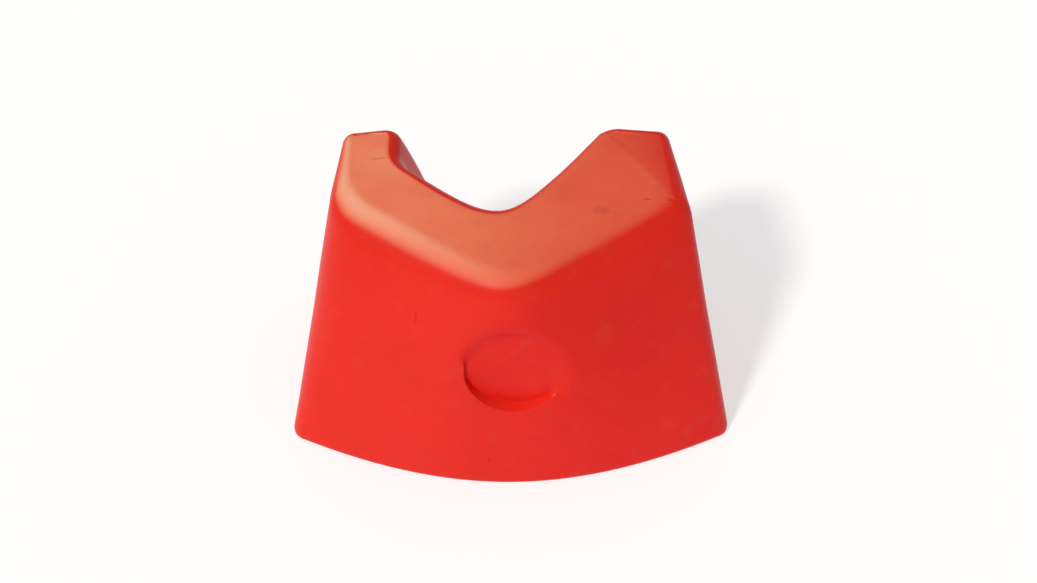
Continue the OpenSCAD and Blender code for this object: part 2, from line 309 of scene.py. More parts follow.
def pick_verts(obj, wanted):
    """In edit mode, selects the vertices for which wanted(vertex) is true."""
    bpy.ops.mesh.select_mode(type="VERT")
    bpy.ops.mesh.select_all(action="DESELECT")
    mesh = bmesh.from_edit_mesh(obj.data)
    for vertex in mesh.verts:
        vertex.select = wanted(vertex)
    mesh.select_flush(True)
    bmesh.update_edit_mesh(obj.data)


def pick_faces(obj, wanted):
    """In edit mode, selects the faces for which wanted(face) is true."""
    bpy.ops.mesh.select_mode(type="FACE")
    bpy.ops.mesh.select_all(action="DESELECT")
    mesh = bmesh.from_edit_mesh(obj.data)
    for face in mesh.faces:
        face.select_set(wanted(face))
    bmesh.update_edit_mesh(obj.data)


def pick_edges(obj, wanted):
    """In edit mode, selects the edges for which wanted(edge) is true."""
    bpy.ops.mesh.select_mode(type="EDGE")
    bpy.ops.mesh.select_all(action="DESELECT")
    mesh = bmesh.from_edit_mesh(obj.data)
    for edge in mesh.edges:
        edge.select_set(wanted(edge))
    bmesh.update_edit_mesh(obj.data)


def extrude_ring(obj, move):
    """Extrudes the selected open edges and moves each new vertex by move(vertex)."""
    bpy.ops.mesh.extrude_region_move()
    mesh = bmesh.from_edit_mesh(obj.data)
    places = mesh.verts.layers.int["place"]
    rows = mesh.verts.layers.int["row"]
    for vertex in [v for v in mesh.verts if v.select]:
        move(vertex, places, rows)
    bmesh.update_edit_mesh(obj.data)


def close_end(obj, row):
    """Bridges the outer path of a ring to the bay path beside it."""
    mesh = bmesh.from_edit_mesh(obj.data)
    places = mesh.verts.layers.int["place"]
    rows = mesh.verts.layers.int["row"]
    back = range(HALF_N + 1, HALF_N + BACK_N)
    pick_verts(obj, lambda v: v[rows] == row and min(v[places], RING_N - v[places]) not in back)
    bpy.ops.mesh.bridge_edge_loops(number_cuts=BACK_N - 1, interpolation="LINEAR")


def raise_shell():
    """The closed outer skin, before its recess and its fittings are opened."""
    deselect_all()
    bpy.ops.mesh.primitive_circle_add(vertices=RING_N, radius=BASE_W / 2, fill_type="NOTHING")
    shell = bpy.context.object
    shell.name = "moulded_shell"
    place = shell.data.attributes.new("place", "INT", "POINT")
    shell.data.attributes.new("row", "INT", "POINT")
    for i, vertex in enumerate(shell.data.vertices):
        place.data[i].value = i
        vertex.co = inset_point(i, 0, BASE_R)
    bpy.ops.object.mode_set(mode="EDIT")
    bpy.ops.mesh.select_all(action="SELECT")
    rings = shell_rings()
    for row, ring in enumerate(rings, 1):
        def lift(vertex, places, rows):
            vertex.co = ring[vertex[places]]
            vertex[rows] = row
        extrude_ring(shell, lift)
    close_end(shell, 0)
    close_end(shell, len(rings))
    bpy.ops.mesh.select_all(action="SELECT")
    bpy.ops.mesh.remove_doubles(threshold=1e-5)
    bpy.ops.mesh.normals_make_consistent(inside=False)
    bpy.ops.object.mode_set(mode="OBJECT")
    return shell


shell = raise_shell()

# The shallow dish in the nose: a flat floor turned a little down and to the left,
# a steep wall along its left and lower side, and a long soft one on the rest.
DISH_X = 0.006
DISH_Z = 0.200
DISH_FLOOR_R = 0.059
DISH_DEPTH = 0.012
DISH_LEAN = math.radians(5)
DISH_TURN = math.radians(2.5)
DISH_MIDDLE = Vector((DISH_X, nose_y(DISH_Z), DISH_Z))
DISH_FRAME = Euler((math.pi / 2 - DISH_LEAN, 0, -DISH_TURN)).to_matrix()
DISH_SIDE = DISH_FRAME.col[0]
DISH_UP = DISH_FRAME.col[1]
DISH_OUT = DISH_FRAME.col[2]
STEEP_TOWARD = math.radians(245)
DISH_ROWS = 100


def smooth_min(a, b, width):
    overlap = max(width - abs(a - b), 0)
    return min(a, b) - overlap * overlap / (4 * width)


def skin_height(u, v):
    """How far the nose stands out of the dish's plane over a point of that plane."""
    height = 0
    for _ in range(6):
        p = DISH_MIDDLE + DISH_SIDE * u + DISH_UP * v + DISH_OUT * height
        height += p.y - front_y(p.x, p.z)
    return height


def softness(angle):
    """0 along the steep side of the dish's wall, 1 along its soft side."""
    t = min(max((math.cos(angle - STEEP_TOWARD) - 0.05) / 0.30, 0), 1)
    return 1 - t * t * (3 - 2 * t)


def floor_r(angle):
    """The floor is a little larger toward the left."""
    return DISH_FLOOR_R + 0.004 * max(-math.cos(angle), 0) ** 2


def wall_run(angle):
    """How far the dish's wall runs out for each unit that it rises."""
    steep = 0.28
    soft = mix(1.4, 2.4, max(math.cos(angle), 0) ** 2)
    return mix(steep, soft, softness(angle))


def dish_rim_r(angle):
    """Radius at which the dish's wall meets the nose."""
    radius = DISH_FLOOR_R
    for _ in range(16):
        rise = DISH_DEPTH + skin_height(radius * math.cos(angle), radius * math.sin(angle))
        radius = mix(radius, floor_r(angle) + max(rise, 0) * wall_run(angle), 0.5)
    return radius


def dish_point(radius, angle):
    u = radius * math.cos(angle)
    v = radius * math.sin(angle)
    wall = -DISH_DEPTH + (radius - floor_r(angle)) / wall_run(angle)
    foot_soft = mix(0.0010, 0.0060, softness(angle))
    rim_soft = mix(0.0014, 0.0100, softness(angle))
    dish = -smooth_min(DISH_DEPTH, -wall, foot_soft)
    height = smooth_min(skin_height(u, v), dish, rim_soft)
    return DISH_MIDDLE + DISH_SIDE * u + DISH_UP * v + DISH_OUT * height


def sink_dish(shell):
    """Replaces a square patch of the nose by rings that follow the dish."""
    deselect_all()
    bpy.context.view_layer.objects.active = shell
    bpy.ops.object.mode_set(mode="EDIT")

    def on_patch(face):
        middle = face.calc_center_median()
        return (abs(middle.x) < PATCH_HALF and PATCH_LOW < middle.z < PATCH_HIGH
                and middle.y < front_y(middle.x, middle.z) + 0.004)
    pick_faces(shell, on_patch)
    bpy.ops.mesh.delete(type="FACE")
    pick_edges(shell, lambda edge: edge.is_boundary)
    above_rim = (0.75, 0.5, 0.25)
    past_rim = (0.009, 0.006, 0.004, 0.002, 0)
    down_wall = (0.2, 0.4, 0.6, 0.8, 1)
    on_floor = (0.0015, 0.003, 0.006, 0.012, 0.020)
    rim_at = len(above_rim)
    wall_at = rim_at + len(past_rim)
    floor_at = wall_at + len(down_wall)
    for k in range(floor_at + len(on_floor)):
        def sink(vertex, places, rows):
            away = vertex.co - DISH_MIDDLE
            u = away.dot(DISH_SIDE)
            v = away.dot(DISH_UP)
            angle = math.atan2(v, u)
            rim = dish_rim_r(angle)
            if k < rim_at:
                radius = mix(rim + past_rim[0] + 0.001, math.hypot(u, v), above_rim[k])
            elif k < wall_at:
                radius = rim + past_rim[k - rim_at]
            elif k < floor_at:
                radius = mix(rim, floor_r(angle), down_wall[k - wall_at])
            else:
                radius = floor_r(angle) - on_floor[k - floor_at]
            vertex.co = dish_point(radius, angle)
            vertex[rows] = DISH_ROWS + k
        extrude_ring(shell, sink)
    bpy.ops.mesh.fill_grid(span=2 * PATCH_N)
    bpy.ops.mesh.select_all(action="SELECT")
    bpy.ops.mesh.normals_make_consistent(inside=False)
    bpy.ops.object.mode_set(mode="OBJECT")


sink_dish(shell)


def wave_skin(shell):
    """Large plastic walls are never quite flat: they wander by a few tenths."""
    shell.data.update()
    moved = []
    for vertex in shell.data.vertices:
        p = vertex.co
        near_base = min(max((p.z - BASE_R) / 0.04, 0), 1)
        near_back = min(max((back_y(p.z) - p.y) / 0.03, 0), 1)
        swell = noise.noise(p * 9) * 0.0007 + noise.noise(p * 26) * 0.0002
        moved.append(p + vertex.normal * swell * near_base * near_back)
    for vertex, p in zip(shell.data.vertices, moved):
        vertex.co = p


wave_skin(shell)

# The pads that carry the threaded inserts, the pocket that keeps the drain inside
# the back face, and the three holes. Sizes lie along each fitting's own axis.
FILLER_X = 0.156
FILLER_Z = 0.268
FILLER_PAD_H = 0.003
FILLER_PAD_R = 0.041
FILLER_HOLE_R = 0.03405
DRAIN_X = -0.165
DRAIN_Z = 0.046
DRAIN_PAD_H = 0.002
DRAIN_PAD_R = 0.0257
DRAIN_HOLE_R = 0.01825
POCKET_R = 0.031
POCKET_FLOOR_R = 0.0295
POCKET_DEPTH = 0.024
VENT_X = -0.178
VENT_Z = 0.300
VENT_R = 0.006
VENT_CUT = WALL / 6
PAD_TAPER = 0.001
DRAIN_PAD_EDGE = 0.0006
FILLER_PAD_EDGE = 0.001
POCKET_MOUTH_EDGE = 0.003
POCKET_FLOOR_EDGE = 0.0025


def on_back(x, z, out=0):
    """A place on the back faces, with its Z out of the plastic."""
    return (Matrix.Translation((x, back_y(z), z))
            @ Matrix.Rotation(BACK_LEAN - math.pi / 2, 4, "X")
            @ Matrix.Translation((0, 0, out)))


def settle(piece, place):
    """Puts a piece at its place and applies it, so that its object is at the origin."""
    deselect_all()
    piece.select_set(True)
    bpy.context.view_layer.objects.active = piece
    piece.matrix_world = place @ piece.matrix_world
    bpy.ops.object.transform_apply(location=True, rotation=True, scale=True)
    return piece


def tapered_disc(low_r, high_r, low, high, vertices=96):
    deselect_all()
    bpy.ops.mesh.primitive_cone_add(vertices=vertices, radius1=low_r, radius2=high_r,
                                    depth=high - low, location=(0, 0, (low + high) / 2))
    bpy.ops.object.transform_apply(location=True, rotation=True, scale=True)
    return bpy.context.object


def combine(piece, tool, operation):
    """Adds a tool shape to the piece or cuts it away, and removes the tool."""
    deselect_all()
    piece.select_set(True)
    bpy.context.view_layer.objects.active = piece
    cut = piece.modifiers.new("cut", "BOOLEAN")
    cut.operation = operation
    cut.solver = "EXACT"
    cut.object = tool
    bpy.ops.object.modifier_apply(modifier=cut.name)
    bpy.data.objects.remove(tool)


def bevel_ring(piece, place, radius, height, width, segments=3):
    """Rounds the circular edge at this radius and height of a fitting's own axis."""
    back = place.inverted()

    def on_ring(edge):
        ends = [back @ vertex.co for vertex in edge.verts]
        return all(abs(math.hypot(p.x, p.y) - radius) < 2e-4 and abs(p.z - height) < 2e-4
                   for p in ends)
    pick_edges(piece, on_ring)
    bpy.ops.mesh.bevel(offset=width, segments=segments, affect="EDGES")


def open_hole(piece, place, height, rim_r, hole_r):
    """Insets the round face at this height and takes out its middle."""
    back = place.inverted()

    def is_disc(face):
        p = back @ face.calc_center_median()
        return math.hypot(p.x, p.y) < 2e-3 and abs(p.z - height) < 2e-4
    pick_faces(piece, is_disc)
    bpy.ops.mesh.inset(thickness=rim_r - hole_r, depth=0)
    bpy.ops.mesh.delete(type="FACE")


def fit_out(shell):
    filler = on_back(FILLER_X, FILLER_Z)
    drain = on_back(DRAIN_X, DRAIN_Z)
    vent = on_back(VENT_X, VENT_Z)
    reach = 0.002
    pocket = tapered_disc(POCKET_FLOOR_R, POCKET_R, -POCKET_DEPTH, reach)
    combine(shell, settle(pocket, drain), "DIFFERENCE")
    drain_low = -POCKET_DEPTH
    drain_high = DRAIN_PAD_H - POCKET_DEPTH
    pad = tapered_disc(DRAIN_PAD_R, DRAIN_PAD_R - PAD_TAPER, drain_low - reach, drain_high)
    combine(shell, settle(pad, drain), "UNION")
    pad = tapered_disc(FILLER_PAD_R, FILLER_PAD_R - PAD_TAPER, -reach, FILLER_PAD_H)
    combine(shell, settle(pad, filler), "UNION")
    combine(shell, settle(tapered_disc(VENT_R, VENT_R, -VENT_CUT, reach, 48), vent), "DIFFERENCE")
    deselect_all()
    bpy.context.view_layer.objects.active = shell
    bpy.ops.object.mode_set(mode="EDIT")
    mouth_r = mix(POCKET_FLOOR_R, POCKET_R, POCKET_DEPTH / (POCKET_DEPTH + reach))
    bevel_ring(shell, drain, mouth_r, 0, POCKET_MOUTH_EDGE, 4)
    bevel_ring(shell, drain, POCKET_FLOOR_R, drain_low, POCKET_FLOOR_EDGE)
    drain_top_r = DRAIN_PAD_R - PAD_TAPER
    filler_top_r = FILLER_PAD_R - PAD_TAPER
    bevel_ring(shell, drain, drain_top_r, drain_high, DRAIN_PAD_EDGE)
    bevel_ring(shell, filler, filler_top_r, FILLER_PAD_H, FILLER_PAD_EDGE)
    open_hole(shell, drain, drain_high, drain_top_r - DRAIN_PAD_EDGE, DRAIN_HOLE_R)
    open_hole(shell, filler, FILLER_PAD_H, filler_top_r - FILLER_PAD_EDGE, FILLER_HOLE_R)
    vent_floor = vent @ Vector((0, 0, -VENT_CUT))
    pick_faces(shell, lambda face: (face.calc_center_median() - vent_floor).length < 1e-3)
    bpy.ops.mesh.delete(type="FACE")
    bpy.ops.object.mode_set(mode="OBJECT")


fit_out(shell)


def apply_modifier(piece, kind, **settings):
    deselect_all()
    piece.select_set(True)
    bpy.context.view_layer.objects.active = piece
    modifier = piece.modifiers.new(kind.lower(), kind)
    for name, value in settings.items():
        setattr(modifier, name, value)
    bpy.ops.object.modifier_apply(modifier=modifier.name)


def smooth(piece, degrees=35):
    deselect_all()
    piece.select_set(True)
    bpy.context.view_layer.objects.active = piece
    bpy.ops.object.shade_smooth_by_angle(angle=math.radians(degrees))


apply_modifier(shell, "SOLIDIFY", thickness=WALL, offset=-1, use_even_offset=False)
smooth(shell, 40)


def new_material(name):
    """An empty node material: returns it, its shader and a function that adds nodes."""
    material = bpy.data.materials.new(name)
    material.use_nodes = True
    tree = material.node_tree
    shader = tree.nodes["Principled BSDF"]

    def add(kind, inputs=(), **settings):
        node = tree.nodes.new(kind)
        for key, value in settings.items():
            setattr(node, key, value)
        for socket, value in dict(inputs).items():
            if isinstance(value, bpy.types.NodeSocket):
                tree.links.new(value, node.inputs[socket])
            else:
                node.inputs[socket].default_value = value
        return node
    return material, shader, add


def link(material, value, node, socket):
    material.node_tree.links.new(value, node.inputs[socket])


def mixed(add, factor, a, b, blend="MIX"):
    """A colour mix of two sockets or colours."""
    node = add("ShaderNodeMix", data_type="RGBA", blend_type=blend)
    tree = node.id_data
    for socket, value in ((node.inputs[0], factor), (node.inputs[6], a), (node.inputs[7], b)):
        if isinstance(value, bpy.types.NodeSocket):
            tree.links.new(value, socket)
        else:
            socket.default_value = value
    return node.outputs[2]


def ranged(add, value, low, high, to_low=0.0, to_high=1.0, smooth_ends=True):
    kind = "SMOOTHSTEP" if smooth_ends else "LINEAR"
    node = add("ShaderNodeMapRange", {"Value": value, "From Min": low, "From Max": high,
                                      "To Min": to_low, "To Max": to_high},
               interpolation_type=kind)
    return node.outputs["Result"]


def times(add, a, b, operation="MULTIPLY"):
    node = add("ShaderNodeMath", {0: a, 1: b}, operation=operation)
    return node.outputs[0]


# Small marks of use: place, half sizes across X, Y and Z, and how dark they are.
NICKS = [((-0.029, -0.166, 0.047), (0.0024, 0.02, 0.0020), 0.55),
         ((-0.062, -0.165, 0.128), (0.0020, 0.02, 0.0018), 0.40),
         ((-0.116, -0.10, 0.262), (0.0016, 0.03, 0.0100), 0.30),
         ((-0.165, 0.085, 0.349), (0.0120, 0.0022, 0.01), 0.25),
         ((0.170, 0.012, 0.346), (0.0050, 0.0016, 0.01), 0.35),
         ((0.198, 0.012, 0.346), (0.0045, 0.0016, 0.01), 0.30),
         ((0.112, -0.008, 0.347), (0.0120, 0.0080, 0.01), 0.16)]


# The direction of the key light, used to paint a sheen and a highlight onto the surfaces that face it.
KEY_LIGHT_SIDE = (-0.36, -0.30, 0.88)


def red_polyethylene():
    """Moulded-through red, with a painted sheen and a painted highlight on the top band where it faces
    the key light, and scuffed all over.
    """
    material, shader, add = new_material("shell_red")
    where = add("ShaderNodeTexCoord")
    place = where.outputs["Object"]
    place_xyz = add("ShaderNodeSeparateXYZ", {0: place})
    cloudy = add("ShaderNodeTexNoise", {"Vector": place, "Scale": 7, "Detail": 4, "Roughness": 0.6})
    patchy = add("ShaderNodeTexNoise", {"Vector": place, "Scale": 38, "Detail": 6, "Roughness": 0.65})
    grain = add("ShaderNodeTexNoise", {"Vector": place, "Scale": 420, "Detail": 3})
    red = mixed(add, ranged(add, cloudy.outputs["Fac"], 0.3, 0.7),
                (0.700, 0.0020, 0.0008, 1), (0.745, 0.0045, 0.0018, 1))
    high_up = ranged(add, place_xyz.outputs["Z"], 0.328, 0.347)
    # Painted light: how squarely each surface faces the key light, used for the painted sheen and
    # painted highlight below.
    facing_key_light = add("ShaderNodeVectorMath", {0: where.outputs["Normal"], 1: KEY_LIGHT_SIDE},
                  operation="DOT_PRODUCT").outputs["Value"]
    # Painted light: the sheen is painted stronger toward the left, the side that the key light falls
    # on.
    leftward = ranged(add, place_xyz.outputs["X"], 0.13, -0.19, 0.60, 1.0, False)
    leftward = times(add, leftward, ranged(add, place_xyz.outputs["X"], 0.225, 0.165, 0.35, 1))
    # Painted sheen: the top band and its shoulder, where they face the key light, are painted a paler
    # orange in place of the reflection of the bright surround.
    painted_sheen = times(add, ranged(add, facing_key_light, 0.76, 0.92), high_up)
    painted_sheen = times(add, times(add, painted_sheen, leftward),
                  ranged(add, cloudy.outputs["Fac"], 0.25, 0.75, 0.85, 1))
    # Painted light: every surface that faces the key light is painted a little paler.
    painted_lit_side = ranged(add, facing_key_light, 0.15, 0.60, 0.0, 0.07)
    painted_sheen = times(add, painted_sheen, painted_lit_side, "MAXIMUM")
    colour = mixed(add, painted_sheen, red, (0.900, 0.235, 0.115, 1))
    # Painted highlight: a paler streak on the left shoulder, where it faces the key light most
    # squarely.
    painted_highlight = times(add, times(add, ranged(add, facing_key_light, 0.90, 0.98), high_up),
                     ranged(add, place_xyz.outputs["X"], 0.01, -0.20, 0.05, 1.0, False))
    colour = mixed(add, painted_highlight, colour, (0.90, 0.42, 0.26, 1))
    dusty = times(add, ranged(add, patchy.outputs["Fac"], 0.52, 0.72), 0.16)
    colour = mixed(add, dusty, colour, (0.62, 0.085, 0.055, 1))
    scratch_place = add("ShaderNodeMapping", {"Vector": place, "Rotation": (0.2, 0.5, 0.7),
                                              "Scale": (40, 700, 500)})
    scratches = add("ShaderNodeTexNoise", {"Vector": scratch_place.outputs[0], "Scale": 1, "Detail": 2})
    scratched = times(add, ranged(add, scratches.outputs["Fac"], 0.68, 0.78), 0.14)
    colour = mixed(add, scratched, colour, (0.80, 0.16, 0.11, 1))
    worn = times(add, ranged(add, add("ShaderNodeNewGeometry").outputs["Pointiness"], 0.53, 0.62), 0.35)
    colour = mixed(add, worn, colour, (0.80, 0.12, 0.08, 1))
    for middle, size, dark in NICKS:
        away = add("ShaderNodeVectorMath", {0: place, 1: middle}, operation="SUBTRACT")
        scaled = add("ShaderNodeVectorMath", {0: away.outputs[0], 1: size}, operation="DIVIDE")
        reach = add("ShaderNodeVectorMath", {0: scaled.outputs[0]}, operation="LENGTH")
        spot = times(add, ranged(add, reach.outputs["Value"], 1.2, 0.5), dark)
        colour = mixed(add, spot, colour, (0.16, 0.006, 0.005, 1))
    link(material, colour, shader, "Base Color")
    # Roughness rises a little where the sheen is painted.
    rough = times(add, ranged(add, patchy.outputs["Fac"], 0.3, 0.75, 0.0, 0.12), painted_sheen, "ADD")
    link(material, ranged(add, rough, 0, 1.1, 0.36, 0.56, False), shader, "Roughness")
    heights = times(add, times(add, grain.outputs["Fac"], 0.35), patchy.outputs["Fac"], "ADD")
    bump = add("ShaderNodeBump", {"Height": heights, "Strength": 0.12, "Distance": 0.0012})
    link(material, bump.outputs[0], shader, "Normal")
    shader.inputs["Specular IOR Level"].default_value = 0.14
    shader.inputs["Subsurface Weight"].default_value = 0.04
    shader.inputs["Subsurface Radius"].default_value = (0.006, 0.002, 0.001)
    shader.inputs["Subsurface Scale"].default_value = 0.5
    return material


shell.data.materials.clear()
shell.data.materials.append(red_polyethylene())
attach(shell, "tank")
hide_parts("tank_shell")


# ---------------------------------------------------------------- water ballast
# About 28 litres of tap water, filled to below the filler. It holds the unit down
# and takes the shape of the inside of the moulding.
def still_water():
    material, shader, add = new_material("water")
    place = add("ShaderNodeTexCoord").outputs["Object"]
    silt = add("ShaderNodeTexNoise", {"Vector": place, "Scale": 12, "Detail": 5})
    colour = mixed(add, ranged(add, silt.outputs["Fac"], 0.3, 0.7),
                   (0.50, 0.62, 0.62, 1), (0.62, 0.72, 0.70, 1))
    link(material, colour, shader, "Base Color")
    ripple = add("ShaderNodeTexNoise", {"Vector": place, "Scale": 30, "Detail": 2})
    bump = add("ShaderNodeBump", {"Height": ripple.outputs["Fac"], "Strength": 0.1,
                                  "Distance": 0.001})
    link(material, bump.outputs[0], shader, "Normal")
    shader.inputs["Roughness"].default_value = 0.04
    shader.inputs["IOR"].default_value = 1.333
    shader.inputs["Transmission Weight"].default_value = 0.9
    return material


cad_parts["water_ballast"].data.materials.clear()
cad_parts["water_ballast"].data.materials.append(still_water())


# ---------------------------------------------------------------- filler insert
# A ring of black glass-filled nylon, laid in the mould so that the plastic grips
# its collar, with a coarse thread cut through it for the filler plug.
FILLER_PITCH = 0.004
FILLER_THREAD_R = 0.027
FILLER_THREAD_DEPTH = 0.0018
FILLER_INSERT_LEN = 0.020
FILLER_INSERT_R = 0.034
FILLER_COLLAR_R = 0.037
THREAD_GAP = 0.0003
COLLAR_LOW = 0.7
COLLAR_HIGH = 0.5


def threaded_rod(crest_r, depth, pitch, low, high, steps=64):
    """A closed rod with a true helical thread between two flat ends."""
    deselect_all()
    bpy.ops.mesh.primitive_circle_add(vertices=6, radius=pitch / 2, fill_type="NOTHING")
    rod = bpy.context.object
    root_r = crest_r - depth
    profile = [(root_r, 0), (root_r, 0.2), (crest_r, 0.42), (crest_r, 0.62), (root_r, 0.84),
               (root_r, 1)]
    start = low - pitch
    for vertex, (radius, rise) in zip(rod.data.vertices, profile):
        vertex.co = (radius, 0, start + rise * pitch)
    bpy.ops.object.mode_set(mode="EDIT")
    ends = {0, len(profile) - 1}
    pick_edges(rod, lambda edge: {vertex.index for vertex in edge.verts} == ends)
    bpy.ops.mesh.delete(type="EDGE")
    bpy.ops.object.mode_set(mode="OBJECT")
    turns = math.ceil((high - low) / pitch) + 2
    apply_modifier(rod, "SCREW", angle=2 * math.pi, screw_offset=pitch, iterations=turns,
                   steps=steps, render_steps=steps, use_merge_vertices=True,
                   merge_threshold=pitch * 1e-3, use_normal_calculate=True)
    bpy.ops.object.mode_set(mode="EDIT")
    bpy.ops.mesh.select_all(action="SELECT")
    bpy.ops.mesh.remove_doubles(threshold=pitch * 1e-3)
    for height, outer in ((low, False), (high, True)):
        bpy.ops.mesh.select_all(action="SELECT")
        bpy.ops.mesh.bisect(plane_co=(0, 0, height), plane_no=(0, 0, 1), use_fill=True,
                            clear_inner=not outer, clear_outer=outer)
    bpy.ops.mesh.select_all(action="SELECT")
    bpy.ops.mesh.normals_make_consistent(inside=False)
    bpy.ops.object.mode_set(mode="OBJECT")
    return rod


def chamfered(low_r, high_r, low, high, chamfer, vertices=96):
    """A round slab with both rims bevelled."""
    slab = tapered_disc(low_r, high_r, low, high, vertices)
    bpy.ops.object.mode_set(mode="EDIT")
    pick_edges(slab, lambda edge: len(edge.link_faces) == 2
               and max(len(face.verts) for face in edge.link_faces) > 4)
    bpy.ops.mesh.bevel(offset=chamfer, segments=2, affect="EDGES")
    bpy.ops.object.mode_set(mode="OBJECT")
    return slab


def threaded_ring(name, body_r, collar_r, length, crest_r, depth, pitch):
    """An insert: a ring with a collar, threaded inside, its face at z = 0."""
    ring = chamfered(body_r, body_r, -length, 0, 0.0006)
    collar = chamfered(collar_r, collar_r, -length * COLLAR_LOW, -length * COLLAR_HIGH, 0.0006)
    combine(ring, collar, "UNION")
    over = 0.001
    rod = threaded_rod(crest_r + THREAD_GAP, depth, pitch, -length - over, over)
    combine(ring, rod, "DIFFERENCE")
    lead_in = tapered_disc(crest_r - depth, crest_r + over, -depth, over)
    combine(ring, lead_in, "DIFFERENCE")
    ring.name = name
    return ring


def black_nylon():
    """Glass-filled nylon: nearly black with a cloudy tone, satin, worn at its edges."""
    material, shader, add = new_material("fitting_black")
    place = add("ShaderNodeTexCoord").outputs["Object"]
    cloudy = add("ShaderNodeTexNoise", {"Vector": place, "Scale": 60, "Detail": 5})
    fibres = add("ShaderNodeTexNoise", {"Vector": place, "Scale": 900, "Detail": 3})
    colour = mixed(add, ranged(add, cloudy.outputs["Fac"], 0.35, 0.7),
                   (0.012, 0.0125, 0.014, 1), (0.026, 0.027, 0.028, 1))
    worn = times(add, ranged(add, add("ShaderNodeNewGeometry").outputs["Pointiness"], 0.52, 0.60), 0.5)
    colour = mixed(add, worn, colour, (0.09, 0.09, 0.09, 1))
    link(material, colour, shader, "Base Color")
    link(material, ranged(add, fibres.outputs["Fac"], 0.3, 0.7, 0.42, 0.58), shader, "Roughness")
    bump = add("ShaderNodeBump", {"Height": fibres.outputs["Fac"], "Strength": 0.15,
                                  "Distance": 0.0004})
    link(material, bump.outputs[0], shader, "Normal")
    return material


nylon = black_nylon()


def finish_piece(piece, place, material, body, node, angle=30):
    """Places a fitting, gives it its finish and ties it to the body that it moves with."""
    settle(piece, place)
    smooth(piece, angle)
    piece.data.materials.clear()
    piece.data.materials.append(material)
    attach(piece, body)
    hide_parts(node)


filler_place = on_back(FILLER_X, FILLER_Z, FILLER_PAD_H)
ring = threaded_ring("filler_ring", FILLER_INSERT_R, FILLER_COLLAR_R, FILLER_INSERT_LEN,
                     FILLER_THREAD_R, FILLER_THREAD_DEPTH, FILLER_PITCH)
finish_piece(ring, filler_place, nylon, "tank", "filler_insert")


# ---------------------------------------------------------------- filler gasket
# A flat ring of black EPDM rubber that lies under the plug's head and is lifted
# with it.
GASKET_IN_R = 0.028
GASKET_OUT_R = 0.033
GASKET_H = 0.003
SEAL_GAP = 0.0001


def rubber_ring(name, middle_r, half_wide, half_high, height, squareness):
    """A ring spun from one rounded section."""
    deselect_all()
    bpy.ops.mesh.primitive_circle_add(vertices=20, radius=1, fill_type="NOTHING")
    ring = bpy.context.object
    for vertex in ring.data.vertices:
        side = math.copysign(abs(vertex.co.x) ** squareness, vertex.co.x)
        rise = math.copysign(abs(vertex.co.y) ** squareness, vertex.co.y)
        vertex.co = (middle_r + side * half_wide, 0, height + rise * half_high)
    bpy.ops.object.mode_set(mode="EDIT")
    bpy.ops.mesh.select_all(action="SELECT")
    bpy.ops.mesh.spin(steps=96, angle=2 * math.pi, center=(0, 0, 0), axis=(0, 0, 1))
    bpy.ops.mesh.select_all(action="SELECT")
    bpy.ops.mesh.remove_doubles(threshold=1e-6)
    bpy.ops.mesh.normals_make_consistent(inside=False)
    bpy.ops.object.mode_set(mode="OBJECT")
    ring.name = name
    return ring


def seal_rubber():
    """EPDM: dull dark grey with a faint bloom and fine grain."""
    material, shader, add = new_material("seal_rubber")
    place = add("ShaderNodeTexCoord").outputs["Object"]
    bloom = add("ShaderNodeTexNoise", {"Vector": place, "Scale": 90, "Detail": 6})
    colour = mixed(add, ranged(add, bloom.outputs["Fac"], 0.4, 0.75),
                   (0.018, 0.018, 0.019, 1), (0.055, 0.055, 0.056, 1))
    link(material, colour, shader, "Base Color")
    link(material, ranged(add, bloom.outputs["Fac"], 0.3, 0.7, 0.68, 0.86), shader, "Roughness")
    grain = add("ShaderNodeTexNoise", {"Vector": place, "Scale": 1500, "Detail": 2})
    bump = add("ShaderNodeBump", {"Height": grain.outputs["Fac"], "Strength": 0.2,
                                  "Distance": 0.0003})
    link(material, bump.outputs[0], shader, "Normal")
    return material


rubber = seal_rubber()
gasket = rubber_ring("filler_seal_ring", (GASKET_IN_R + GASKET_OUT_R) / 2,
                     (GASKET_OUT_R - GASKET_IN_R) / 2, GASKET_H / 2 - SEAL_GAP,
                     GASKET_H / 2, 0.35)
finish_piece(gasket, filler_place, rubber, "filler_seal", "filler_gasket", 50)


# ---------------------------------------------------------------- filler plug
# A screw plug of black nylon with a hollow threaded stem, a head fluted for the
# hand, and a bar across it to turn it by.
FILLER_TURNS = 3.5
HEAD_R = 0.035
HEAD_H = 0.007
FLUTES = 18
FLUTE_R = 0.003
FLUTE_OUT = 0.0015
BAR_LEN = 0.052
BAR_W = 0.012
BAR_H = 0.009


def make_filler_plug():
    head_low = GASKET_H
    head_high = head_low + HEAD_H
    plug = chamfered(HEAD_R, HEAD_R - 0.0008, head_low, head_high, 0.0012, 144)
    for k in range(FLUTES):
        turn = Matrix.Rotation(2 * math.pi * k / FLUTES, 4, "Z")
        flute = tapered_disc(FLUTE_R, FLUTE_R, head_low - 0.001, head_high + 0.001, 24)
        settle(flute, turn @ Matrix.Translation((HEAD_R + FLUTE_OUT, 0, 0)))
        combine(plug, flute, "DIFFERENCE")
    bar = bar_on_head(head_high)
    combine(plug, bar, "UNION")
    stem_low = -FILLER_TURNS * FILLER_PITCH
    thread_high = -0.001
    neck = tapered_disc(FILLER_THREAD_R - FILLER_THREAD_DEPTH, FILLER_THREAD_R - 0.0005,
                        thread_high - 0.001, head_low + 0.001)
    combine(plug, neck, "UNION")
    rod = threaded_rod(FILLER_THREAD_R, FILLER_THREAD_DEPTH, FILLER_PITCH, stem_low, thread_high)
    combine(plug, rod, "UNION")
    bore = chamfered(0.020, 0.022, stem_low - 0.004, -0.001, 0.0015)
    combine(plug, bore, "DIFFERENCE")
    plug.name = "filler_screw_plug"
    return plug


